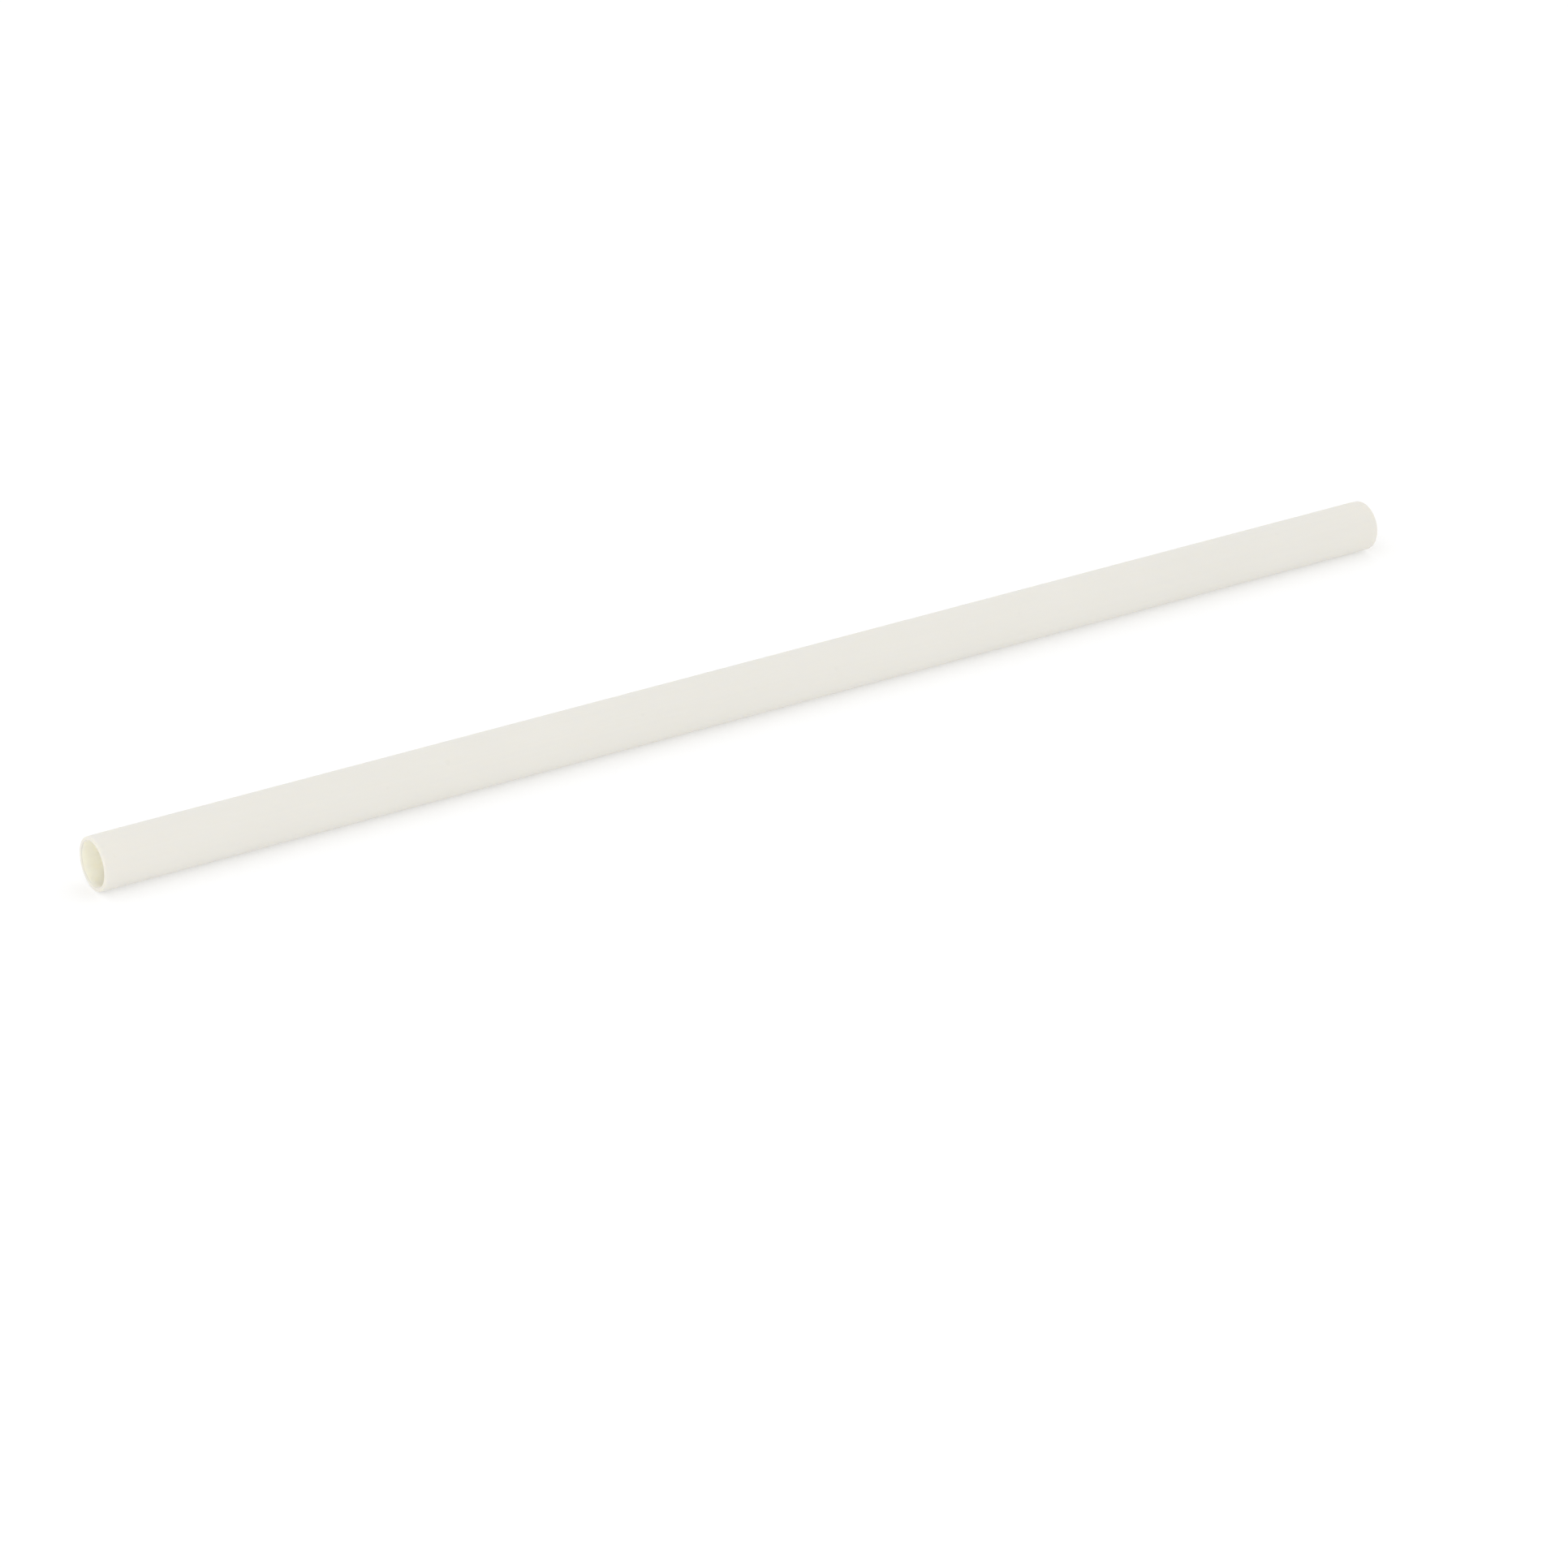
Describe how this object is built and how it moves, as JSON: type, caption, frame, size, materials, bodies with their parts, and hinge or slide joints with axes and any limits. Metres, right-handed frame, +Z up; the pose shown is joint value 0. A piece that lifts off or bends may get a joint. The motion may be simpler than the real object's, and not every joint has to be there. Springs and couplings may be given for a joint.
{
  "type": "drinking straw",
  "caption": "Straight off-white drinking straw: a thin-walled round tube with square-cut, lightly eased rims, open at both ends and lying on its side.",
  "frame": {"origin": "on the surface the straw lies on, under the middle of its length", "axes": "+X along the straw, +Z up"},
  "size_m": [0.2, 0.007, 0.007],
  "materials": {
    "straw_wall": "matte off-white plant-based plastic, slightly translucent, warmer inside the bore"
  },
  "bodies": {
    "root": {"straw": "straw_wall"}
  },
  "joints": []
}
